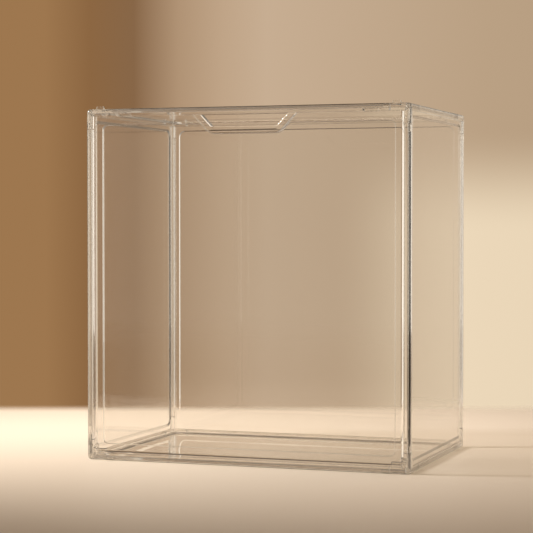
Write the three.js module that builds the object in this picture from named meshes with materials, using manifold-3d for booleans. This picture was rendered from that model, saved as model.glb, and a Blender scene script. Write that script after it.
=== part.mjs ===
// Clear figure display box. Twelve grooved edge strips and eight three-way corners hold five
// clear panels, and a front door with a finger pull turns on two pins at its foot.
// Millimetres, +Z up. The origin is on the table under the middle of the box, and the door
// faces -Y.

import * as THREE from 'three';
import { RoundedBoxGeometry } from 'three/addons/geometries/RoundedBoxGeometry.js';
import { mergeVertices } from 'three/addons/utils/BufferGeometryUtils.js';
import Module from 'manifold-3d';

const wasm = await Module();
wasm.setup();

// Overall size, without the stacking lugs
const boxWidth = 286;
const boxDepth = 190;
const boxHeight = 300;

// Edge strips and corner legs share one square section with a rounded outer edge
const edgeSize = 6;
const edgeRadius = 3;
const edgeFacets = 4;

// Panels: a border that sits in the grooves and a thinner round-cornered field
const panelThickness = 2.4;
const panelInset = 1.2;
const panelBorder = 4.5;
const fieldStep = 0.7;
const fieldCornerRadius = 6;
const grooveGap = 0.15;
const grooveWall = 0.6;

// Three-way corners, with a peg on each leg that plugs into the strip's end
const legAlongWidth = 18;
const legAlongDepth = 26;
const legAboveEar = 3.9;
const legEndGap = 0.3;
const pegRadius = 1;
const pegLength = 6;
const pegGap = 0.15;
const pegFacets = 12;

// Stacking lugs on the top corners, with recesses under the bottom corners
const lugFromLegEnd = 1.2;
const lugLength = 9;
const lugInset = 1.2;
const lugWidth = 2.8;
const lugHeight = 2;
const lugEndSlope = 1.4;
const lugGap = 0.2;

// Front door, set back in the frame of the front strips
const doorThickness = 4;
const doorSetback = 3;
const doorSideGap = 0.6;
const doorTopGap = 0.5;
const doorFootGap = 0.6;
const doorBorder = 7.5;
const doorFrontStep = 1.6;
const doorBackStep = 0.4;
const doorFieldRadius = 4;

// Finger pull: a trapezoid notch in the door's top edge with a raised band round it
const pullTopWidth = 76;
const pullFootWidth = 57;
const pullDepth = 10.2;
const pullBand = 5.8;
const pullStandOut = 2.2;
const pullCornerRadius = 4;

// Catch tabs on the door's top edge, which rest in notches in the top front rail
const catchFromSide = 34;
const catchWidth = 12;
const catchHeight = 2;
const catchThickness = 2;
const catchGap = 0.3;
const catchSideGap = 0.5;

// Hinge: an arched ear on each front bottom corner and a pin into the door's foot
const earRadius = 4.5;
const earStandOut = 2.1;
const earGap = 0.4;
const pinRadius = 1.1;
const pinGap = 0.15;
const pinInDoor = 8;
const pinBackWall = 0.65;
const pinEndGap = 0.3;
const pinFacets = 16;
const arcFacets = 5;

// A cut runs this far past the face it opens, so that no two faces lie in one plane
const cutOver = 1;

// Worked-out places, as depths inward from the box's outer faces
const panelInnerFace = panelInset + panelThickness;
const grooveFloor = panelInnerFace + grooveGap + grooveWall;
const panelEdge = grooveFloor + grooveGap;
const fieldEdge = edgeSize + panelBorder;
const pegCentre = grooveFloor / 2;
const lugStart = legAlongWidth - lugFromLegEnd - lugLength;
const doorBack = doorSetback + doorThickness;
const doorTop = boxHeight - edgeSize - doorTopGap;
const doorHalfWidth = boxWidth / 2 - edgeSize - doorSideGap;
const footRadius = doorThickness / 2;
const pivotDepth = doorSetback + footRadius;
const pivotHeight = edgeSize + doorFootGap + footRadius;
const catchMiddle = boxWidth / 2 - catchFromSide;
const earInnerFace = edgeSize + earStandOut;
const earClearance = earInnerFace + earGap;
const earTop = pivotHeight + earRadius;
const legAlongHeight = earTop + legAboveEar;
const pinBoreFloor = panelInnerFace + grooveGap + pinBackWall;
const pinOuterEnd = pinBoreFloor + pinEndGap;

// Finishes
const clearPlastic = {
  color: 0xf4f1ea,
  roughness: 0.06,
  metalness: 0,
  transparent: true,
  opacity: 0.32,
};

function finish(changes = {}) {
  return new THREE.MeshStandardMaterial({ ...clearPlastic, ...changes });
}

// Solids from geometries, and back
function solid(geometry) {
  const bare = geometry.clone();
  bare.deleteAttribute('normal');
  bare.deleteAttribute('uv');
  const merged = mergeVertices(bare, 1e-4);
  return new wasm.Manifold(new wasm.Mesh({
    numProp: 3,
    vertProperties: Float32Array.from(merged.attributes.position.array),
    triVerts: Uint32Array.from(merged.index.array),
  }));
}

function geometryOf(body) {
  const mesh = body.getMesh();
  const indexed = new THREE.BufferGeometry();
  indexed.setAttribute('position', new THREE.BufferAttribute(mesh.vertProperties, 3));
  indexed.setIndex(new THREE.BufferAttribute(mesh.triVerts, 1));
  const geometry = indexed.toNonIndexed();
  geometry.computeVertexNormals();
  return geometry;
}

// A block between two opposite corners
function block(low, high) {
  const size = high.map((value, axis) => value - low[axis]);
  const geometry = new THREE.BoxGeometry(...size);
  geometry.translate(...low.map((value, axis) => value + size[axis] / 2));
  return solid(geometry);
}

// An outline drawn in two axes and carried along the third: [first, second, along]
const drawnIn = {
  xy: new THREE.Matrix4(),
  yz: new THREE.Matrix4().makeBasis(
    new THREE.Vector3(0, 1, 0), new THREE.Vector3(0, 0, 1), new THREE.Vector3(1, 0, 0)),
  zx: new THREE.Matrix4().makeBasis(
    new THREE.Vector3(0, 0, 1), new THREE.Vector3(1, 0, 0), new THREE.Vector3(0, 1, 0)),
};

function prism(outline, plane, from, to) {
  const geometry = new THREE.ExtrudeGeometry(outline, {
    depth: to - from,
    bevelEnabled: false,
    curveSegments: arcFacets,
  });
  geometry.translate(0, 0, from);
  geometry.applyMatrix4(drawnIn[plane]);
  return solid(geometry);
}

// A round rod from one point along an axis, 0 for X, 1 for Y and 2 for Z
function rod(radius, facets, start, axis, length) {
  const geometry = new THREE.CylinderGeometry(radius, radius, length, facets);
  if (axis === 0) geometry.rotateZ(-Math.PI / 2);
  if (axis === 2) geometry.rotateX(Math.PI / 2);
  const middle = [...start];
  middle[axis] += length / 2;
  geometry.translate(...middle);
  return solid(geometry);
}

function polygon(points) {
  return new THREE.Shape(points.map(([first, second]) => new THREE.Vector2(first, second)));
}

function roundedRectangle(low, high, radius) {
  const [left, bottom] = low;
  const [right, top] = high;
  const outline = new THREE.Shape();
  outline.absarc(right - radius, bottom + radius, radius, -Math.PI / 2, 0);
  outline.absarc(right - radius, top - radius, radius, 0, Math.PI / 2);
  outline.absarc(left + radius, top - radius, radius, Math.PI / 2, Math.PI);
  outline.absarc(left + radius, bottom + radius, radius, Math.PI, 1.5 * Math.PI);
  return outline;
}

// The section of an edge strip, drawn as depths in from its two outer faces. A groove in the
// first direction holds the panel that lies along the second face, and the other way round.
function stripSection(grooveInFirst, grooveInSecond) {
  const grooveStart = panelInset - grooveGap;
  const grooveEnd = panelInnerFace + grooveGap;
  const outline = new THREE.Shape();
  outline.moveTo(edgeRadius, 0);
  outline.lineTo(edgeSize, 0);
  if (grooveInFirst) {
    outline.lineTo(edgeSize, grooveStart);
    outline.lineTo(grooveFloor, grooveStart);
    outline.lineTo(grooveFloor, grooveEnd);
    outline.lineTo(edgeSize, grooveEnd);
  }
  outline.lineTo(edgeSize, edgeSize);
  if (grooveInSecond) {
    outline.lineTo(grooveEnd, edgeSize);
    outline.lineTo(grooveEnd, grooveFloor);
    outline.lineTo(grooveStart, grooveFloor);
    outline.lineTo(grooveStart, edgeSize);
  }
  outline.lineTo(0, edgeSize);
  outline.lineTo(0, edgeRadius);
  for (let facet = 1; facet < edgeFacets; facet += 1) {
    const angle = Math.PI + (facet / edgeFacets) * (Math.PI / 2);
    outline.lineTo(edgeRadius + edgeRadius * Math.cos(angle), edgeRadius + edgeRadius * Math.sin(angle));
  }
  return outline;
}

// A strip of a given length with a peg hole in each end
function strip(length, grooveInFirst, grooveInSecond) {
  const hole = pegRadius + pegGap;
  const nearHole = rod(hole, pegFacets, [pegCentre, pegCentre, -cutOver], 2, pegLength + cutOver);
  const farHole = rod(hole, pegFacets, [pegCentre, pegCentre, length - pegLength], 2, pegLength + cutOver);
  return prism(stripSection(grooveInFirst, grooveInSecond), 'xy', 0, length)
    .subtract(nearHole)
    .subtract(farHole);
}

// The room that a panel takes in a corner, in depths from the corner's three outer faces.
// The panel lies across the given axis.
function panelRoom(across) {
  const low = [0, 1, 2].map((axis) => (axis === across ? panelInset - grooveGap : grooveFloor));
  const reach = [legAlongWidth, legAlongDepth, legAlongHeight].map((leg) => leg + pegLength + cutOver);
  const high = [0, 1, 2].map((axis) => (axis === across ? panelInnerFace + grooveGap : reach[axis]));
  return block(low, high);
}

// The stacking lug on a corner's leg along the width, grown by a gap to make its recess.
// Its two ends slope inward as it rises, and its root lies in the leg's rounded edge.
function stackingLug(upward, gap) {
  const start = lugStart - gap;
  const end = lugStart + lugLength + gap;
  const crest = upward * (lugHeight + gap);
  const root = -upward * edgeRadius;
  const outline = polygon([
    [root, start],
    [crest, start + lugEndSlope],
    [crest, end - lugEndSlope],
    [root, end],
  ]);
  return prism(outline, 'zx', lugInset - gap, lugInset + lugWidth + gap);
}

// The hinge ear: an arch that stands on the corner round the door's pivot
function hingeEar() {
  const outline = new THREE.Shape();
  outline.moveTo(pivotDepth - earRadius, grooveFloor);
  outline.lineTo(pivotDepth + earRadius, grooveFloor);
  outline.absarc(pivotDepth, pivotHeight, earRadius, 0, Math.PI);
  return prism(outline, 'yz', 0, earInnerFace);
}

// A three-way corner, in depths from its three outer faces
function corner({ isFront, isTop }) {
  const legs = [legAlongWidth, legAlongDepth, legAlongHeight];
  let body = block([0, 0, 0], [legAlongWidth, edgeSize, edgeSize])
    .add(block([0, 0, 0], [edgeSize, legAlongDepth, edgeSize]))
    .add(block([0, 0, 0], [edgeSize, edgeSize, legAlongHeight]));
  if (isFront && !isTop) body = body.add(hingeEar());
  const envelope = new RoundedBoxGeometry(...legs.map((leg) => 2 * leg), edgeFacets, edgeRadius);
  envelope.translate(...legs);
  body = body.intersect(solid(envelope));
  legs.forEach((leg, axis) => {
    const start = [pegCentre, pegCentre, pegCentre];
    start[axis] = leg - cutOver;
    body = body.add(rod(pegRadius, pegFacets, start, axis, pegLength + cutOver));
  });
  body = body.subtract(panelRoom(0)).subtract(panelRoom(2));
  if (!isFront) body = body.subtract(panelRoom(1));
  // A top corner's lug rises out of it, against the depth, and a bottom corner's recess goes in
  body = isTop ? body.add(stackingLug(-1, 0)) : body.subtract(stackingLug(1, lugGap));
  if (isFront && !isTop) {
    const boreStart = [pinBoreFloor, pivotDepth, pivotHeight];
    const boreLength = earInnerFace - pinBoreFloor + cutOver;
    body = body.subtract(rod(pinRadius + pinGap, pinFacets, boreStart, 0, boreLength));
  }
  return body;
}

// A panel of a given outer size, with its outer face down at 0 and its thinner field on top
function panel(width, height) {
  const half = [width / 2, height / 2];
  const inset = fieldEdge - panelEdge;
  const field = roundedRectangle(half.map((value) => inset - value),
    half.map((value) => value - inset), fieldCornerRadius);
  return block([-half[0], -half[1], 0], [half[0], half[1], panelThickness])
    .subtract(prism(field, 'xy', panelThickness - fieldStep, panelThickness + cutOver));
}

// The finger pull's outline, grown sideways and downward by a margin
function pullOutline(margin) {
  const slope = (pullTopWidth - pullFootWidth) / 2 / pullDepth;
  const grow = margin * Math.hypot(1, slope);
  const foot = doorTop - pullDepth - margin;
  const topHalf = pullTopWidth / 2 + grow + cutOver * slope;
  const footHalf = pullFootWidth / 2 + grow - margin * slope;
  const radius = pullCornerRadius + margin;
  const flank = Math.atan2(1, slope);
  const tangent = radius * Math.tan(flank / 2);
  const outline = new THREE.Shape();
  outline.moveTo(topHalf, doorTop + cutOver);
  outline.lineTo(-topHalf, doorTop + cutOver);
  outline.absarc(-footHalf + tangent, foot + radius, radius, 1.5 * Math.PI - flank, 1.5 * Math.PI);
  outline.absarc(footHalf - tangent, foot + radius, radius, 1.5 * Math.PI, 1.5 * Math.PI + flank);
  return outline;
}

// The door: x across, y in from the box's front plane, z up
function door() {
  const slabSection = new THREE.Shape();
  slabSection.moveTo(doorBack, doorTop);
  slabSection.lineTo(doorSetback, doorTop);
  slabSection.absarc(pivotDepth, pivotHeight, footRadius, Math.PI, 2 * Math.PI);
  let body = prism(slabSection, 'yz', -doorHalfWidth, doorHalfWidth);

  // Thinner field, deeper on the front, so that the door leans closed on its pivot
  const fieldLow = [pivotHeight - footRadius + doorBorder, -doorHalfWidth + doorBorder];
  const fieldHigh = [doorTop - doorBorder, doorHalfWidth - doorBorder];
  const field = roundedRectangle(fieldLow, fieldHigh, doorFieldRadius);
  body = body
    .subtract(prism(field, 'zx', doorSetback - cutOver, doorSetback + doorFrontStep))
    .subtract(prism(field, 'zx', doorBack - doorBackStep, doorBack + cutOver));

  // Raised band of the finger pull, level with the door's top edge, then the notch itself
  const standIn = new THREE.Matrix4().makeBasis(
    new THREE.Vector3(1, 0, 0), new THREE.Vector3(0, 0, 1), new THREE.Vector3(0, -1, 0));
  const pull = (margin, from, to) => {
    const geometry = new THREE.ExtrudeGeometry(pullOutline(margin), {
      depth: to - from,
      bevelEnabled: false,
      curveSegments: edgeFacets,
    });
    geometry.translate(0, 0, -to);
    geometry.applyMatrix4(standIn);
    return solid(geometry);
  };
  const bandFront = doorSetback - pullStandOut;
  const belowTop = block([-boxWidth, -boxDepth, 0], [boxWidth, boxDepth, doorTop]);
  body = body
    .add(pull(pullBand, bandFront, doorBack).intersect(belowTop))
    .subtract(pull(0, bandFront - cutOver, doorBack + cutOver));

  [-1, 1].forEach((side) => {
    const middle = side * catchMiddle;
    body = body.add(block(
      [middle - catchWidth / 2, doorSetback, doorTop - cutOver],
      [middle + catchWidth / 2, doorSetback + catchThickness, doorTop + catchHeight]));

    // Room for the hinge ear, and the bore for the pin
    const inner = boxWidth / 2 - earClearance;
    const outer = boxWidth / 2;
    const room = side > 0 ? [inner, outer] : [-outer, -inner];
    const bore = side > 0 ? inner - pinInDoor - pinEndGap : -inner - cutOver;
    body = body
      .subtract(block(
        [room[0], doorSetback - cutOver, 0],
        [room[1], doorBack + cutOver, earTop + earGap]))
      .subtract(rod(pinRadius + pinGap, pinFacets, [bore, pivotDepth, pivotHeight], 0,
        pinInDoor + pinEndGap + cutOver));
  });
  return body;
}

// Named meshes in their groups
const displayBox = new THREE.Group();
const fixedCase = new THREE.Group();
const doorGroup = new THREE.Group();
displayBox.add(fixedCase, doorGroup);

function place(parent, name, body, material, placement = new THREE.Matrix4()) {
  const mesh = new THREE.Mesh(geometryOf(body), material);
  mesh.name = name;
  mesh.applyMatrix4(placement);
  parent.add(mesh);
  return mesh;
}

function frameAt(origin, first, second, third) {
  return new THREE.Matrix4()
    .makeBasis(new THREE.Vector3(...first), new THREE.Vector3(...second), new THREE.Vector3(...third))
    .setPosition(...origin);
}

const across = [{ side: 'left', sign: -1 }, { side: 'right', sign: 1 }];
const along = [{ side: 'front', sign: -1 }, { side: 'back', sign: 1 }];
const upright = [{ side: 'bottom', sign: -1 }, { side: 'top', sign: 1 }];
const halfWidth = boxWidth / 2;
const halfDepth = boxDepth / 2;
const faceHeight = (level) => (level.sign > 0 ? boxHeight : 0);

// Eight corners
upright.forEach((level) => along.forEach((end) => across.forEach((flank) => {
  const body = corner({ isFront: end.sign < 0, isTop: level.sign > 0 });
  place(fixedCase, `corner_${end.side}_${flank.side}_${level.side}`, body, finish({ opacity: 0.42 }),
    frameAt([flank.sign * halfWidth, end.sign * halfDepth, faceHeight(level)],
      [-flank.sign, 0, 0], [0, -end.sign, 0], [0, 0, -level.sign]));
})));

// Rails along the width, with catch notches in the top front one
const widthRun = boxWidth - 2 * (legAlongWidth + legEndGap);
upright.forEach((level) => along.forEach((end) => {
  let body = strip(widthRun, true, end.sign > 0);
  if (level.sign > 0 && end.sign < 0) {
    const notchTop = edgeSize + doorTopGap - catchHeight - catchGap;
    [-1, 1].forEach((side) => {
      const middle = widthRun / 2 + side * catchMiddle;
      body = body.subtract(block(
        [-cutOver, notchTop, middle - catchWidth / 2 - catchSideGap],
        [doorSetback + catchThickness + catchGap, edgeSize + cutOver,
          middle + catchWidth / 2 + catchSideGap]));
    });
  }
  place(fixedCase, `rail_${level.side}_${end.side}`, body, finish({ opacity: 0.38 }),
    frameAt([-widthRun / 2, end.sign * halfDepth, faceHeight(level)],
      [0, -end.sign, 0], [0, 0, -level.sign], [1, 0, 0]));
}));

// Rails along the depth
const depthRun = boxDepth - 2 * (legAlongDepth + legEndGap);
upright.forEach((level) => across.forEach((flank) => {
  place(fixedCase, `rail_${level.side}_${flank.side}`, strip(depthRun, true, true), finish({ opacity: 0.38 }),
    frameAt([flank.sign * halfWidth, -depthRun / 2, faceHeight(level)],
      [-flank.sign, 0, 0], [0, 0, -level.sign], [0, 1, 0]));
}));

// Posts
const heightRun = boxHeight - 2 * (legAlongHeight + legEndGap);
along.forEach((end) => across.forEach((flank) => {
  place(fixedCase, `post_${end.side}_${flank.side}`, strip(heightRun, end.sign > 0, true),
    finish({ opacity: 0.38 }),
    frameAt([flank.sign * halfWidth, end.sign * halfDepth, legAlongHeight + legEndGap],
      [-flank.sign, 0, 0], [0, -end.sign, 0], [0, 0, 1]));
}));

// Panels: each lies with its outer face a set depth behind the strips' outer faces
const panelWidth = boxWidth - 2 * panelEdge;
const panelDepth = boxDepth - 2 * panelEdge;
const panelHeight = boxHeight - 2 * panelEdge;
upright.forEach((level) => {
  place(fixedCase, level.sign > 0 ? 'top_panel' : 'floor_panel', panel(panelWidth, panelDepth), finish(),
    frameAt([0, 0, faceHeight(level) - level.sign * panelInset],
      [1, 0, 0], [0, 1, 0], [0, 0, -level.sign]));
});
across.forEach((flank) => {
  place(fixedCase, `${flank.side}_side_panel`, panel(panelDepth, panelHeight), finish(),
    frameAt([flank.sign * (halfWidth - panelInset), 0, boxHeight / 2],
      [0, 1, 0], [0, 0, 1], [-flank.sign, 0, 0]));
});
place(fixedCase, 'back_panel', panel(panelWidth, panelHeight), finish(),
  frameAt([0, halfDepth - panelInset, boxHeight / 2], [1, 0, 0], [0, 0, 1], [0, -1, 0]));

// Hinge pins, from the ears into the door's foot
const pinLength = earClearance + pinInDoor - pinOuterEnd;
across.forEach((flank) => {
  const pin = rod(pinRadius, pinFacets, [0, 0, 0], 0, pinLength);
  place(fixedCase, `hinge_pin_${flank.side}`, pin, finish({ opacity: 0.6 }),
    frameAt([flank.sign * (halfWidth - pinOuterEnd), pivotDepth - halfDepth, pivotHeight],
      [-flank.sign, 0, 0], [0, 1, 0], [0, 0, 1]));
});

// Front door
const frontDoor = place(doorGroup, 'front_door', door(), finish({ opacity: 0.34 }));
frontDoor.position.set(0, -halfDepth, 0);

export default displayBox;
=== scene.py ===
"""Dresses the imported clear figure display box: panels, edge strips, corners, door and hinge pins."""
import math

import bmesh
import bpy
import numpy as np
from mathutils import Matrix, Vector
from mathutils.geometry import tessellate_polygon


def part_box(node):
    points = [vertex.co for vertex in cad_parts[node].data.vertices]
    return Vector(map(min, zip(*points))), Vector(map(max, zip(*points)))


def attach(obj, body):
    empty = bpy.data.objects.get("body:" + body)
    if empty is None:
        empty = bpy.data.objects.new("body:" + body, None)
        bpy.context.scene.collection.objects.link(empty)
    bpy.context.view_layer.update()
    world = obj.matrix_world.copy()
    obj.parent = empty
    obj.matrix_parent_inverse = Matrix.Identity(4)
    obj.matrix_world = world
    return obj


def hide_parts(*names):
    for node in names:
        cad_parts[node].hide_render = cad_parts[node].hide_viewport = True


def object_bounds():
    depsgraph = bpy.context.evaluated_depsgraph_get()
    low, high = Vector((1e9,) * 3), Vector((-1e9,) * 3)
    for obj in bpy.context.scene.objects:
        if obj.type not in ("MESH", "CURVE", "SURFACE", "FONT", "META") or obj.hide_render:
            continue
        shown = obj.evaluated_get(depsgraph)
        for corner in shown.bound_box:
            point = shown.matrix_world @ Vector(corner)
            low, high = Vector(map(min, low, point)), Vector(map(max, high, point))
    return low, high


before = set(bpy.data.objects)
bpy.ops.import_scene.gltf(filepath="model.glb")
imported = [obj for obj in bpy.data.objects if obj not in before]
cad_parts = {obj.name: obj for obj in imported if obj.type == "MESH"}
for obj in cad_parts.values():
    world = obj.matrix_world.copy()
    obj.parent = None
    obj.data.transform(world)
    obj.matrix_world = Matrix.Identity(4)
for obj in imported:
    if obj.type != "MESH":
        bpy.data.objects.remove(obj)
cad_low, cad_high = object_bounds()
middle = (np.array(cad_low) + np.array(cad_high)) / 2

MM = 0.001

# Sizes of the mouldings that a node's box doesn't give, which follow from the part's source
PANEL_BORDER = 6.0 * MM
FIELD_STEP = 0.7 * MM
FIELD_RADIUS = 6.0 * MM
EDGE_ROUND = 3.0 * MM
GROOVE_OUTER = 1.05 * MM
GROOVE_INNER = 3.75 * MM
GROOVE_FLOOR = 4.35 * MM
PEG_CENTRE = 2.175 * MM
PEG_HOLE = 1.15 * MM
PEG_DEPTH = 6.0 * MM

# Rounds, and slopes in degrees, that only the dressed pieces have
SHEET_FILLET = 0.3 * MM
PANEL_CORNER = 1.0 * MM
LEAST_PANEL_CORNER = 0.2 * MM
RIM_WIDTH = 2.0 * MM
STEP_ROUND = 0.25 * MM
STEP_SLOPE = 45
SIDE_STEP_SLOPE = 16
STRIP_FACE_FILLET = 0.35 * MM
STRIP_INNER_FILLET = 0.4 * MM
GROOVE_LIP_FILLET = 0.25 * MM
GROOVE_FLOOR_FILLET = 0.1 * MM
STRIP_END_FILLET = 0.12 * MM
PIN_END_ROUND = 0.4 * MM
NOTCHED_RAIL_FILLET = 0.22 * MM
CORNER_FILLET = 0.2 * MM
DOOR_FILLET = 0.35 * MM
PULL_FILLET = 1.25 * MM
DOOR_SIDE_FILLET = 2.6 * MM
BACK_STEP_FILLET = 0.15 * MM

# Where the door's own fillets lie, as distances from the faces of its box
BACK_STEP_REACH = 0.5 * MM
PULL_FRONT_REACH = 1.5 * MM
PULL_DROP = 20 * MM
DOOR_FRONT_REACH = 2.5 * MM
DOOR_SIDE_REACH = 0.2 * MM

# One more ring lies this far beyond a round, so that its shading stays off the flat face beside it
SUPPORT = 0.04 * MM

# Points and steps of the curves
PANEL_CORNER_POINTS = 13
STRIP_ROUND_STEPS = 7
STRIP_END_POINTS = 4
PEG_HOLE_POINTS = 24
PIN_POINTS = 32
PIN_END_STEPS = 6
DOOR_FILLET_STEPS = 5

# Points nearer than these are one point, in a new mesh and in a copy of a solid
MERGE_NEW = 0.0005 * MM
MERGE_SOLID = 0.002 * MM

# Angles between faces, in degrees: flat enough to merge, sharp enough to round, and sharp in shading
FLAT_ANGLE = 0.6
SHARP_ANGLE = 32
STRIP_SHARP_ANGLE = 35
PIN_SHARP_ANGLE = 50

SIDES = ("front", "back")
HANDS = ("left", "right")
TOP_CORNERS = [f"corner_{side}_{hand}_top" for side in SIDES for hand in HANDS]
FOOT_CORNERS = [f"corner_{side}_{hand}_bottom" for side in SIDES for hand in HANDS]
RAILS = [f"rail_{level}_{side}" for level in ("top", "bottom") for side in SIDES + HANDS]
POSTS = [f"post_{side}_{hand}" for side in SIDES for hand in HANDS]
PANELS = ["top_panel", "floor_panel", "back_panel", "left_side_panel", "right_side_panel"]
PINS = ["hinge_pin_left", "hinge_pin_right"]

PLASTIC_IOR = 1.56
SMEAR_SCALE = 17.0


class Value:
    """A node's output. Arithmetic on it adds the Math nodes that work the expression out."""

    def __init__(self, finish, socket):
        self.finish = finish
        self.socket = socket

    def maths(self, operation, first, second):
        return self.finish.node("ShaderNodeMath", {"operation": operation}, {0: first, 1: second})

    def __add__(self, other):
        return self.maths("ADD", self, other)

    def __radd__(self, other):
        return self.maths("ADD", other, self)

    def __mul__(self, other):
        return self.maths("MULTIPLY", self, other)

    def __rmul__(self, other):
        return self.maths("MULTIPLY", other, self)


class Finish:
    """The node tree of one finish. node() adds any node and gives its output as a Value."""

    def __init__(self, tree):
        self.tree = tree
        tree.nodes.clear()

    def node(self, kind, settings=None, sockets=None, output=0):
        made = self.tree.nodes.new(kind)
        for key, setting in (settings or {}).items():
            if key == "stops":
                ramp = made.color_ramp
                while len(ramp.elements) < len(setting):
                    ramp.elements.new(0.5)
                for element, (place, colour) in zip(ramp.elements, setting):
                    element.position = place
                    element.color = (*colour, 1.0)
            else:
                setattr(made, key, setting)
        for key, given in (sockets or {}).items():
            if isinstance(given, Value):
                self.tree.links.new(given.socket, made.inputs[key])
            else:
                made.inputs[key].default_value = given
        return Value(self, made.outputs[output]) if made.outputs else None

    def noise(self, place, scale, detail):
        return self.node("ShaderNodeTexNoise", None, {"Vector": place, "Scale": scale, "Detail": detail})

    def smooth(self, value, start, end, first=0.0, last=1.0):
        """Goes smoothly from first to last while the value goes from start to end."""
        return self.node(
            "ShaderNodeMapRange",
            {"interpolation_type": "SMOOTHSTEP"},
            {"Value": value, "From Min": start, "From Max": end, "To Min": first, "To Max": last},
        )

    def reach(self, vector, direction):
        """How far a vector reaches along a direction: their dot product."""
        return self.node(
            "ShaderNodeVectorMath",
            {"operation": "DOT_PRODUCT"},
            {0: vector, 1: tuple(direction)},
            "Value",
        )

    def scaled(self, colour, share):
        return self.node("ShaderNodeVectorMath", {"operation": "SCALE"}, {0: colour, "Scale": share})

    def added(self, first, second):
        return self.node("ShaderNodeVectorMath", {"operation": "ADD"}, {0: first, 1: second})


def clear_plastic(name, tint, shade, haze, ripple, ripple_scale):
    """A clear moulded plastic.

    The skin has long moulding ripples in its bump, and soft smears that are a little less polished.
    A lamp's rays pass straight through with the colour given as shade, so shadows stay light."""
    material = bpy.data.materials.new(name)
    material.use_nodes = True
    finish = Finish(material.node_tree)
    place = finish.node("ShaderNodeTexCoord", output="Object")
    ripples = finish.noise(place, scale=ripple_scale, detail=1.0)
    smear = finish.smooth(finish.noise(place, scale=SMEAR_SCALE, detail=4.0), start=0.5, end=0.78)
    bump = finish.node(
        "ShaderNodeBump",
        None,
        {"Strength": 0.5, "Distance": 0.001, "Height": ripples * ripple},
    )
    skin = finish.node(
        "ShaderNodeBsdfPrincipled",
        None,
        {
            "Base Color": (*tint, 1.0),
            "Roughness": smear * haze,
            "IOR": PLASTIC_IOR,
            "Transmission Weight": 1.0,
            "Normal": bump,
        },
    )
    passing = finish.node("ShaderNodeBsdfTransparent", None, {"Color": (*shade, 1.0)})
    shadow = finish.node("ShaderNodeLightPath", output="Is Shadow Ray")
    whole = finish.node("ShaderNodeMixShader", None, {0: shadow, 1: skin, 2: passing})
    finish.node("ShaderNodeOutputMaterial", None, {"Surface": whole})
    return material


def measure(node, choose):
    """A node's low and high corner and size, the axis that choose picks by size, and the other two axes."""
    low, high = (np.array(corner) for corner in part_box(node))
    size = high - low
    chosen = int(choose(size))
    return low, high, size, chosen, [axis for axis in range(3) if axis != chosen]


def stack_walls(rings):
    """Quads between neighbouring rings of a stack."""
    count, around = rings.shape[:2]
    low = (np.arange(count - 1) * around)[:, None]
    here = np.arange(around)[None, :]
    ahead = (here + 1) % around
    quads = np.stack([low + here, low + ahead, low + around + ahead, low + around + here], 2)
    return quads.reshape(-1, 4).tolist()


def closed_stack(rings):
    """The walls of a stack of rings, and a face that closes each end."""
    count, around = rings.shape[:2]
    first = list(range(around))[::-1]
    last = list(range((count - 1) * around, count * around))
    return stack_walls(rings) + [first, last]


def put_piece(node, points, faces, finish, smooth_angle=None):
    """A mesh from points in the object's frame, in place of its CAD node."""
    mesh = bpy.data.meshes.new(f"clear_{node}")
    mesh.from_pydata(np.asarray(points, dtype=float).reshape(-1, 3).tolist(), [], faces)
    form = bmesh.new()
    form.from_mesh(mesh)
    bmesh.ops.remove_doubles(form, verts=form.verts, dist=MERGE_NEW)
    bmesh.ops.recalc_face_normals(form, faces=form.faces)
    form.to_mesh(mesh)
    form.free()
    return settle(node, mesh, finish, smooth_angle)


def settle(node, mesh, finish, smooth_angle):
    """The mesh's object, riding on its node's body, with the given finish as its material."""
    mesh.polygons.foreach_set("use_smooth", np.ones(len(mesh.polygons), dtype=bool))
    if smooth_angle:
        mesh.set_sharp_from_angle(angle=math.radians(smooth_angle))
    mesh.materials.append(finish)
    piece = bpy.data.objects.new(mesh.name, mesh)
    bpy.context.scene.collection.objects.link(piece)
    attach(piece, "door" if node == "front_door" else "case")
    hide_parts(node)
    return piece


def bend(centre, radius, start, end, steps=5):
    """Points of an arc: the centre plus the radius times cosine and sine, at equal steps of the angle."""
    turn = np.radians(np.linspace(start, end, steps + 1))
    return np.array(centre) + radius * np.stack([np.cos(turn), np.sin(turn)], 1)


def panel_profile(thickness, slope):
    """Inset and depth of a panel's rings: rounded rim, level border, sloped step to the thinner field.

    The step is a straight slope, in degrees, with a small round where it meets the border and the field."""
    rim = SHEET_FILLET
    tilt = math.radians(slope)
    reach = FIELD_STEP / 2 / math.tan(tilt) + STEP_ROUND * math.tan(tilt / 2)
    floor = thickness - FIELD_STEP
    return np.concatenate([
        [[rim + SUPPORT, 0.0]],
        bend((rim, rim), rim, 270, 180),
        [[0.0, rim + SUPPORT], [0.0, thickness - rim - SUPPORT]],
        bend((rim, thickness - rim), rim, 180, 90),
        [[rim + SUPPORT, thickness], [PANEL_BORDER - reach - SUPPORT, thickness]],
        bend((PANEL_BORDER - reach, thickness - STEP_ROUND), STEP_ROUND, 90, 90 - slope),
        bend((PANEL_BORDER + reach, floor + STEP_ROUND), STEP_ROUND, 270 - slope, 270),
        [[PANEL_BORDER + reach + SUPPORT, floor]],
    ])


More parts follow.
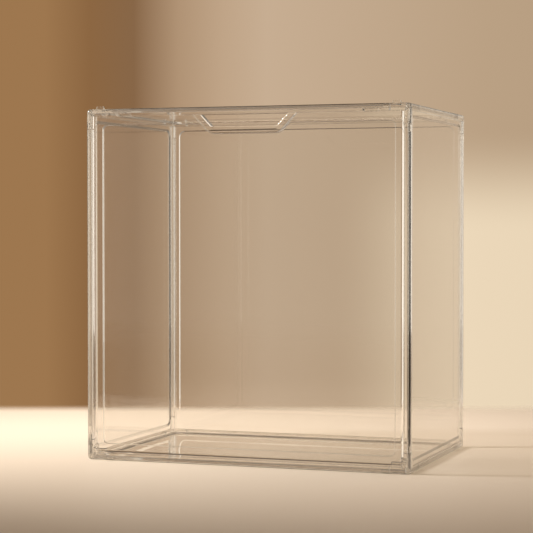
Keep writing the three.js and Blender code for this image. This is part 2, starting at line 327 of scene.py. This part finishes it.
def panel(node, slope, finish):
    """A panel: rounded rectangles stacked along the panel's profile, from its outer to its inner face.

    A ring is the panel's outline moved in by its inset. Its corner radius keeps it parallel to the
    outline near the rim, and to the field's round corner inside."""
    low, high, size, across, (wide, tall) = measure(node, np.argmin)
    outward = np.sign((low + high)[across] / 2 - middle[across])
    outer = high[across] if outward > 0 else low[across]
    profile = panel_profile(size[across], slope)
    inset, depth = profile[:, 0], profile[:, 1]
    near_rim = np.maximum(PANEL_CORNER - inset, LEAST_PANEL_CORNER)
    corner = np.where(inset > RIM_WIDTH, FIELD_RADIUS + PANEL_BORDER - inset, near_rim)
    signs = np.array([[1, 1], [-1, 1], [-1, -1], [1, -1]])
    quarter = np.linspace(0, 90, PANEL_CORNER_POINTS)
    turn = np.radians(np.arange(4)[:, None] * 90 + quarter[None, :])
    half = np.array([size[wide], size[tall]]) / 2
    centres = signs[None, :, None, :] * (half - inset[:, None] - corner[:, None])[:, None, None, :]
    around = np.stack([np.cos(turn), np.sin(turn)], 2)[None] * corner[:, None, None, None]
    flat = (centres + around).reshape(len(inset), -1, 2)
    rings = np.empty(flat.shape[:2] + (3,))
    rings[..., wide] = flat[..., 0] + (low + high)[wide] / 2
    rings[..., tall] = flat[..., 1] + (low + high)[tall] / 2
    rings[..., across] = (outer - outward * depth)[:, None]
    return put_piece(node, rings, closed_stack(rings), finish)


def filleted(corners, radii, steps):
    """A closed outline with rounded corners.

    Each corner gives way to an arc that meets both sides at radius times the tangent of half the turn,
    with one more point just before and just after it."""
    corners = np.array(corners, dtype=float)
    radii = np.array(radii, dtype=float)
    into = corners - np.roll(corners, 1, 0)
    into /= np.linalg.norm(into, axis=1)[:, None]
    out = np.roll(into, -1, 0)
    turn = np.arctan2(into[:, 0] * out[:, 1] - into[:, 1] * out[:, 0], (into * out).sum(1))
    reach = radii * np.tan(np.abs(turn) / 2)
    side = np.sign(turn)
    normal = np.stack([into[:, 1], -into[:, 0]], 1) * side[:, None]
    start = corners - into * reach[:, None]
    centre = start - normal * radii[:, None]
    share = np.linspace(0, 1, steps + 1)
    angle = np.arctan2(normal[:, 1], normal[:, 0])[:, None] + turn[:, None] * share[None, :]
    arcs = centre[:, None, :] + radii[:, None, None] * np.stack([np.cos(angle), np.sin(angle)], 2)
    before = (start - into * SUPPORT)[:, None, :]
    after = (corners + out * (reach + SUPPORT)[:, None])[:, None, :]
    return np.concatenate([before, arcs, after], 1).reshape(-1, 2)


def strip_outline(edge, first_groove, second_groove):
    """A strip's section, as distances from its two outer faces.

    A square with a large round on the outer corner, and a groove for each panel that it holds."""
    groove_radii = [GROOVE_LIP_FILLET, GROOVE_FLOOR_FILLET, GROOVE_FLOOR_FILLET, GROOVE_LIP_FILLET]
    corners = [(0, 0), (edge, 0)]
    radii = [EDGE_ROUND, STRIP_FACE_FILLET]
    if second_groove:
        corners += [(edge, GROOVE_OUTER), (GROOVE_FLOOR, GROOVE_OUTER)]
        corners += [(GROOVE_FLOOR, GROOVE_INNER), (edge, GROOVE_INNER)]
        radii += groove_radii
    corners += [(edge, edge)]
    radii += [STRIP_INNER_FILLET]
    if first_groove:
        corners += [(GROOVE_INNER, edge), (GROOVE_INNER, GROOVE_FLOOR)]
        corners += [(GROOVE_OUTER, GROOVE_FLOOR), (GROOVE_OUTER, edge)]
        radii += groove_radii
    corners += [(0, edge)]
    radii += [STRIP_FACE_FILLET]
    return filleted(corners, radii, STRIP_ROUND_STEPS)


def strip(node, finish):
    """An edge strip: its section carried straight along it, with a small round at both ends.

    Each end has the round hole that a corner's peg goes into. A strip at the front has no groove there,
    because the door isn't held in one."""
    low, high, size, along, (first, second) = measure(node, np.argmax)
    side = np.sign((low + high) / 2 - middle)
    first_groove = not (first == 1 and side[1] < 0)
    second_groove = not (second == 1 and side[1] < 0)
    outline = strip_outline(min(size), first_groove, second_groove)
    ahead = np.roll(outline, -1, 0) - outline
    normal = np.stack([ahead[:, 1], -ahead[:, 0]], 1)
    normal /= np.linalg.norm(normal, axis=1)[:, None]
    normal = normal + np.roll(normal, 1, 0)
    normal /= np.linalg.norm(normal, axis=1)[:, None]
    length = size[along]
    turn = np.radians(np.linspace(0, 90, STRIP_END_POINTS))
    inset = np.append(STRIP_END_FILLET * (1 - np.sin(turn)), 0.0)
    way = np.append(STRIP_END_FILLET * (1 - np.cos(turn)), STRIP_END_FILLET + SUPPORT)
    inset = np.concatenate([inset, inset[::-1]])
    way = np.concatenate([way, length - way[::-1]])
    around = len(outline)
    section = outline[None] - normal[None] * inset[:, None, None]
    reached = np.broadcast_to(way[:, None, None], section.shape[:2] + (1,))
    walls = np.concatenate([section, reached], 2)
    faces = stack_walls(walls)
    spin = np.linspace(0, 2 * math.pi, PEG_HOLE_POINTS, endpoint=False)
    circle = PEG_CENTRE + PEG_HOLE * np.stack([np.cos(spin), np.sin(spin)], 1)
    points = [walls.reshape(-1, 3)]
    used = len(points[0])
    for end, ring in ((0.0, 0), (length, len(way) - 1)):
        floor = PEG_DEPTH if end == 0 else length - PEG_DEPTH
        rim = np.concatenate([circle, np.full((PEG_HOLE_POINTS, 1), end)], 1)
        foot = np.concatenate([circle, np.full((PEG_HOLE_POINTS, 1), floor)], 1)
        bore = np.stack([rim, foot])
        points.append(bore.reshape(-1, 3))
        faces += [[corner + used for corner in face] for face in stack_walls(bore)]
        faces.append([used + PEG_HOLE_POINTS + corner for corner in range(PEG_HOLE_POINTS)])
        loops = [[Vector((*spot, 0)) for spot in loop] for loop in (section[ring], circle)]
        index = np.concatenate([ring * around + np.arange(around), used + np.arange(PEG_HOLE_POINTS)])
        faces += [[int(index[corner]) for corner in face] for face in tessellate_polygon(loops)]
        used += 2 * PEG_HOLE_POINTS
    local = np.concatenate(points)
    placed = np.empty_like(local)
    placed[:, along] = low[along] + local[:, 2]
    for axis, column in ((first, 0), (second, 1)):
        outer = high[axis] if side[axis] > 0 else low[axis]
        placed[:, axis] = outer - side[axis] * local[:, column]
    return put_piece(node, placed, faces, finish, STRIP_SHARP_ANGLE)


def pin(node, finish):
    """A hinge pin, turned about its axis: its radius rises over a round end, stays level and falls again."""
    low, high, size, along, (first, second) = measure(node, np.argmax)
    radius = min(size) / 2
    ends = bend((PIN_END_ROUND, radius - PIN_END_ROUND), PIN_END_ROUND, 180, 90, PIN_END_STEPS)
    far = ends[::-1] * [-1, 1] + [size[along], 0]
    profile = np.concatenate([ends, ends[-1:] + [[SUPPORT, 0]], far[:1] - [[SUPPORT, 0]], far])
    spin = np.linspace(0, 2 * math.pi, PIN_POINTS, endpoint=False)
    rings = np.empty((len(profile), PIN_POINTS, 3))
    rings[..., along] = low[along] + profile[:, :1]
    rings[..., first] = (low + high)[first] / 2 + profile[:, 1:] * np.cos(spin)
    rings[..., second] = (low + high)[second] / 2 + profile[:, 1:] * np.sin(spin)
    return put_piece(node, rings, closed_stack(rings), finish, PIN_SHARP_ANGLE)


def moulded(node, finish, fillet, rule=None, widest=None, segments=3):
    """A copy of a node's solid, its loose triangles merged into flat faces and its sharp edges rounded.

    rule takes an edge's two ends and gives the edge's own fillet, or None for the common one. An edge's
    bevel weight is its fillet as a share of the widest one, which is the bevel's width."""
    widest = widest or fillet
    form = bmesh.new()
    form.from_mesh(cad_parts[node].data)
    bmesh.ops.remove_doubles(form, verts=form.verts, dist=MERGE_SOLID)
    flat = math.radians(FLAT_ANGLE)
    bmesh.ops.dissolve_limit(form, angle_limit=flat, verts=form.verts, edges=form.edges)
    weight = form.edges.layers.float.new("bevel_weight_edge")
    for edge in form.edges:
        if edge.calc_face_angle(0.0) > math.radians(SHARP_ANGLE):
            own = rule(*(corner.co for corner in edge.verts)) if rule else None
            edge[weight] = (own or fillet) / widest
    mesh = bpy.data.meshes.new(f"clear_{node}")
    form.to_mesh(mesh)
    form.free()
    piece = settle(node, mesh, finish, None)
    rounding = piece.modifiers.new("rounded edges", "BEVEL")
    rounding.width = widest
    rounding.segments = segments
    rounding.limit_method = "WEIGHT"
    rounding.use_clamp_overlap = False
    rounding.miter_outer = "MITER_ARC"
    level = piece.modifiers.new("level faces", "WEIGHTED_NORMAL")
    level.mode = "FACE_AREA"
    level.weight = 100
    return piece


def door_fillet(first, second):
    """Soft edges on the finger pull's band and down the door's sides, fine ones round its back step."""
    low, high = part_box("front_door")
    front = max(first.y, second.y) - low.y
    lowest = min(first.z, second.z)
    if min(first.y, second.y) > high.y - BACK_STEP_REACH:
        return BACK_STEP_FILLET
    if front < PULL_FRONT_REACH and lowest > high.z - PULL_DROP:
        return PULL_FILLET
    if front < DOOR_FRONT_REACH and min(abs(first.x), abs(second.x)) > high.x - DOOR_SIDE_REACH:
        return DOOR_SIDE_FILLET
    return None


clear_panel = clear_plastic(
    "clear_panel",
    tint=(0.985, 0.98, 0.968),
    shade=(0.978, 0.974, 0.966),
    haze=0.05,
    ripple=0.035,
    ripple_scale=22.0,
)
clear_door = clear_plastic(
    "clear_door",
    tint=(0.983, 0.978, 0.966),
    shade=(0.976, 0.972, 0.964),
    haze=0.05,
    ripple=0.035,
    ripple_scale=26.0,
)
clear_edge = clear_plastic(
    "clear_edge",
    tint=(0.978, 0.97, 0.955),
    shade=(0.86, 0.845, 0.82),
    haze=0.012,
    ripple=0.002,
    ripple_scale=60.0,
)
clear_corner = clear_plastic(
    "clear_corner",
    tint=(0.976, 0.968, 0.95),
    shade=(0.85, 0.835, 0.81),
    haze=0.012,
    ripple=0.002,
    ripple_scale=120.0,
)
clear_pin = clear_plastic(
    "clear_pin",
    tint=(0.97, 0.96, 0.94),
    shade=(0.8, 0.78, 0.75),
    haze=0.06,
    ripple=0.005,
    ripple_scale=200.0,
)

for node in PANELS:
    panel(node, SIDE_STEP_SLOPE if "side" in node else STEP_SLOPE, clear_panel)
for node in RAILS + POSTS:
    if node == "rail_top_front":
        moulded(node, clear_edge, NOTCHED_RAIL_FILLET)
    else:
        strip(node, clear_edge)
for node in PINS:
    pin(node, clear_pin)
for node in TOP_CORNERS + FOOT_CORNERS:
    moulded(node, clear_corner, CORNER_FILLET)
moulded("front_door", clear_door, DOOR_FILLET, door_fillet, DOOR_SIDE_FILLET, DOOR_FILLET_STEPS)


# Camera at the photograph's angle, from a fit to the outlines of the rounded strips
CAMERA_YAW = 0.33705
CAMERA_PITCH = 0.02728
CAMERA_PLACE = (0.5094, -1.4909, 0.2075)
camera_data = bpy.data.cameras.new("photo_camera")
camera_data.sensor_width = 36.0
camera_data.lens = 121.03
camera_data.clip_start = 0.05
camera_data.clip_end = 50.0
camera = bpy.data.objects.new("photo_camera", camera_data)
camera.location = CAMERA_PLACE
camera.rotation_euler = (math.pi / 2 - CAMERA_PITCH, 0.0, CAMERA_YAW)
bpy.context.scene.collection.objects.link(camera)
bpy.context.scene.camera = camera

# Directions level with the table, to the camera's right and away from the camera, and the one up
rightward = np.array([math.cos(CAMERA_YAW), math.sin(CAMERA_YAW), 0.0])
forward = np.array([-math.sin(CAMERA_YAW), math.cos(CAMERA_YAW), 0.0])
upward = np.array([0.0, 0.0, 1.0])

# The floor's extent in metres, from under the middle of the box
FLOOR_HALF_WIDTH = 1.6
FLOOR_NEAR = -1.9
FLOOR_FAR = 0.44


def pale_floor():
    """A pale table top that fades out at its near and far edges."""
    near_left = rightward * -FLOOR_HALF_WIDTH + forward * FLOOR_NEAR
    near_right = rightward * FLOOR_HALF_WIDTH + forward * FLOOR_NEAR
    far_right = rightward * FLOOR_HALF_WIDTH + forward * FLOOR_FAR
    far_left = rightward * -FLOOR_HALF_WIDTH + forward * FLOOR_FAR
    corners = [near_left, near_right, far_right, far_left]
    mesh = bpy.data.meshes.new("pale_floor")
    mesh.from_pydata([tuple(spot) for spot in corners], [], [[0, 1, 2, 3]])
    material = bpy.data.materials.new("pale_floor")
    material.use_nodes = True
    finish = Finish(material.node_tree)
    place = finish.node("ShaderNodeTexCoord", output="Object")
    away = finish.reach(place, forward)
    far_fade = finish.smooth(away, start=0.33, end=0.41, first=1.0, last=0.0)
    near_fade = finish.smooth(away, start=-1.8, end=-0.6)
    cloud = finish.noise(place, scale=3.0, detail=2.0)
    skin = finish.node(
        "ShaderNodeBsdfPrincipled",
        None,
        {
            "Base Color": (0.79, 0.675, 0.555, 1.0),
            "Roughness": 0.55 + cloud * 0.1,
            "Specular IOR Level": 0.15,
            "Alpha": far_fade * near_fade,
        },
    )
    finish.node("ShaderNodeOutputMaterial", None, {"Surface": skin})
    mesh.materials.append(material)
    floor = bpy.data.objects.new("pale_floor", mesh)
    bpy.context.scene.collection.objects.link(floor)


def soft_surround():
    """Plain warm studio surround: a ramp of colour round the horizon, which grows dim above it.

    The ramp's angles are degrees to the right of straight ahead. A low pool of light lies a little to the
    right of straight ahead, and a faint warm light comes from overhead."""
    turns = [
        (-180, (0.42, 0.35, 0.28)),
        (-152, (0.32, 0.265, 0.21)),
        (-137, (0.30, 0.25, 0.20)),
        (-133, (1.6, 1.45, 1.26)),
        (-106, (1.6, 1.45, 1.26)),
        (-98, (0.62, 0.54, 0.45)),
        (-62, (0.50, 0.43, 0.35)),
        (-40, (0.56, 0.48, 0.39)),
        (-31, (1.1, 1.01, 0.88)),
        (-14, (1.1, 1.01, 0.88)),
        (-8.5, (0.34, 0.185, 0.078)),
        (-6.8, (0.34, 0.185, 0.078)),
        (-5.2, (0.235, 0.118, 0.047)),
        (-4.4, (0.22, 0.115, 0.05)),
        (-2.4, (0.49, 0.335, 0.21)),
        (0, (0.57, 0.42, 0.288)),
        (8, (0.48, 0.345, 0.222)),
        (12, (0.50, 0.37, 0.25)),
        (16, (0.98, 0.87, 0.73)),
        (28, (0.98, 0.87, 0.73)),
        (30.5, (0.62, 0.48, 0.345)),
        (36, (0.58, 0.44, 0.31)),
        (45, (0.53, 0.37, 0.235)),
        (48, (1.2, 1.07, 0.9)),
        (62, (1.2, 1.07, 0.9)),
        (75, (0.56, 0.47, 0.37)),
        (105, (0.62, 0.53, 0.42)),
        (130, (0.48, 0.40, 0.32)),
        (180, (0.42, 0.35, 0.28)),
    ]
    strength = 1.6
    stops = [((angle + 180) / 360, tuple(part / strength for part in colour)) for angle, colour in turns]
    pool_colour = tuple(part / strength for part in (0.34, 0.325, 0.255))
    overhead_colour = (0.1, 0.068, 0.044)
    world = bpy.data.worlds.new("soft_surround")
    bpy.context.scene.world = world
    world.use_nodes = True
    finish = Finish(world.node_tree)
    gaze = finish.node("ShaderNodeTexCoord", output="Generated")
    right = finish.reach(gaze, rightward)
    ahead = finish.reach(gaze, forward)
    height = finish.reach(gaze, upward)
    turn = right.maths("ARCTAN2", right, ahead)
    share = turn * (0.5 / math.pi) + 0.5
    ramp = finish.node("ShaderNodeValToRGB", {"stops": stops}, {"Fac": share}, "Color")
    dusk = finish.smooth(height, start=0.12, end=0.3, first=1.0, last=0.25)
    pool_height = finish.smooth(height, start=0.05, end=-0.01)
    pool_start = finish.smooth(turn, start=math.radians(2.0), end=math.radians(6.5))
    pool_end = finish.smooth(turn, start=math.radians(8.5), end=math.radians(15.0), first=1.0, last=0.0)
    overhead = finish.smooth(height, start=0.5, end=0.85)
    around = finish.scaled(ramp, dusk)
    pool = finish.scaled(pool_colour, pool_height * pool_start * pool_end)
    above = finish.scaled(overhead_colour, overhead)
    tone = finish.added(finish.added(around, pool), above)
    glow = finish.node("ShaderNodeBackground", None, {"Color": tone, "Strength": strength})
    finish.node("ShaderNodeOutputWorld", None, {"Surface": glow})


def softbox(name, place, aim, size, spread, power, colour):
    """A square lamp with a grid that narrows its beam, facing a point."""
    lamp_data = bpy.data.lights.new(name, "AREA")
    lamp_data.shape = "RECTANGLE"
    lamp_data.size, lamp_data.size_y = size
    lamp_data.spread = math.radians(spread)
    lamp_data.energy = power
    lamp_data.color = colour
    lamp = bpy.data.objects.new(name, lamp_data)
    lamp.location = place
    lamp.rotation_euler = (Vector(aim) - Vector(place)).to_track_quat("-Z", "Y").to_euler()
    lamp.visible_camera = False
    bpy.context.scene.collection.objects.link(lamp)


pale_floor()
soft_surround()
softbox(
    "key_softbox",
    place=tuple(rightward * -1.35 + forward * 0.05 + upward * 1.05),
    aim=tuple(forward * 0.18 + upward * 0.02),
    size=(0.22, 0.22),
    spread=44.0,
    power=3.5,
    colour=(1.0, 0.945, 0.87),
)

LIGHT_BOUNCES = 40
bpy.context.scene.view_settings.view_transform = "Standard"
bpy.context.scene.cycles.max_bounces = LIGHT_BOUNCES
bpy.context.scene.cycles.transmission_bounces = LIGHT_BOUNCES
bpy.context.scene.cycles.transparent_max_bounces = LIGHT_BOUNCES
bpy.context.scene.cycles.glossy_bounces = LIGHT_BOUNCES
bpy.context.scene.cycles.sample_clamp_indirect = 1.3
bpy.context.scene.cycles.caustics_refractive = False
bpy.context.scene.cycles.caustics_reflective = False
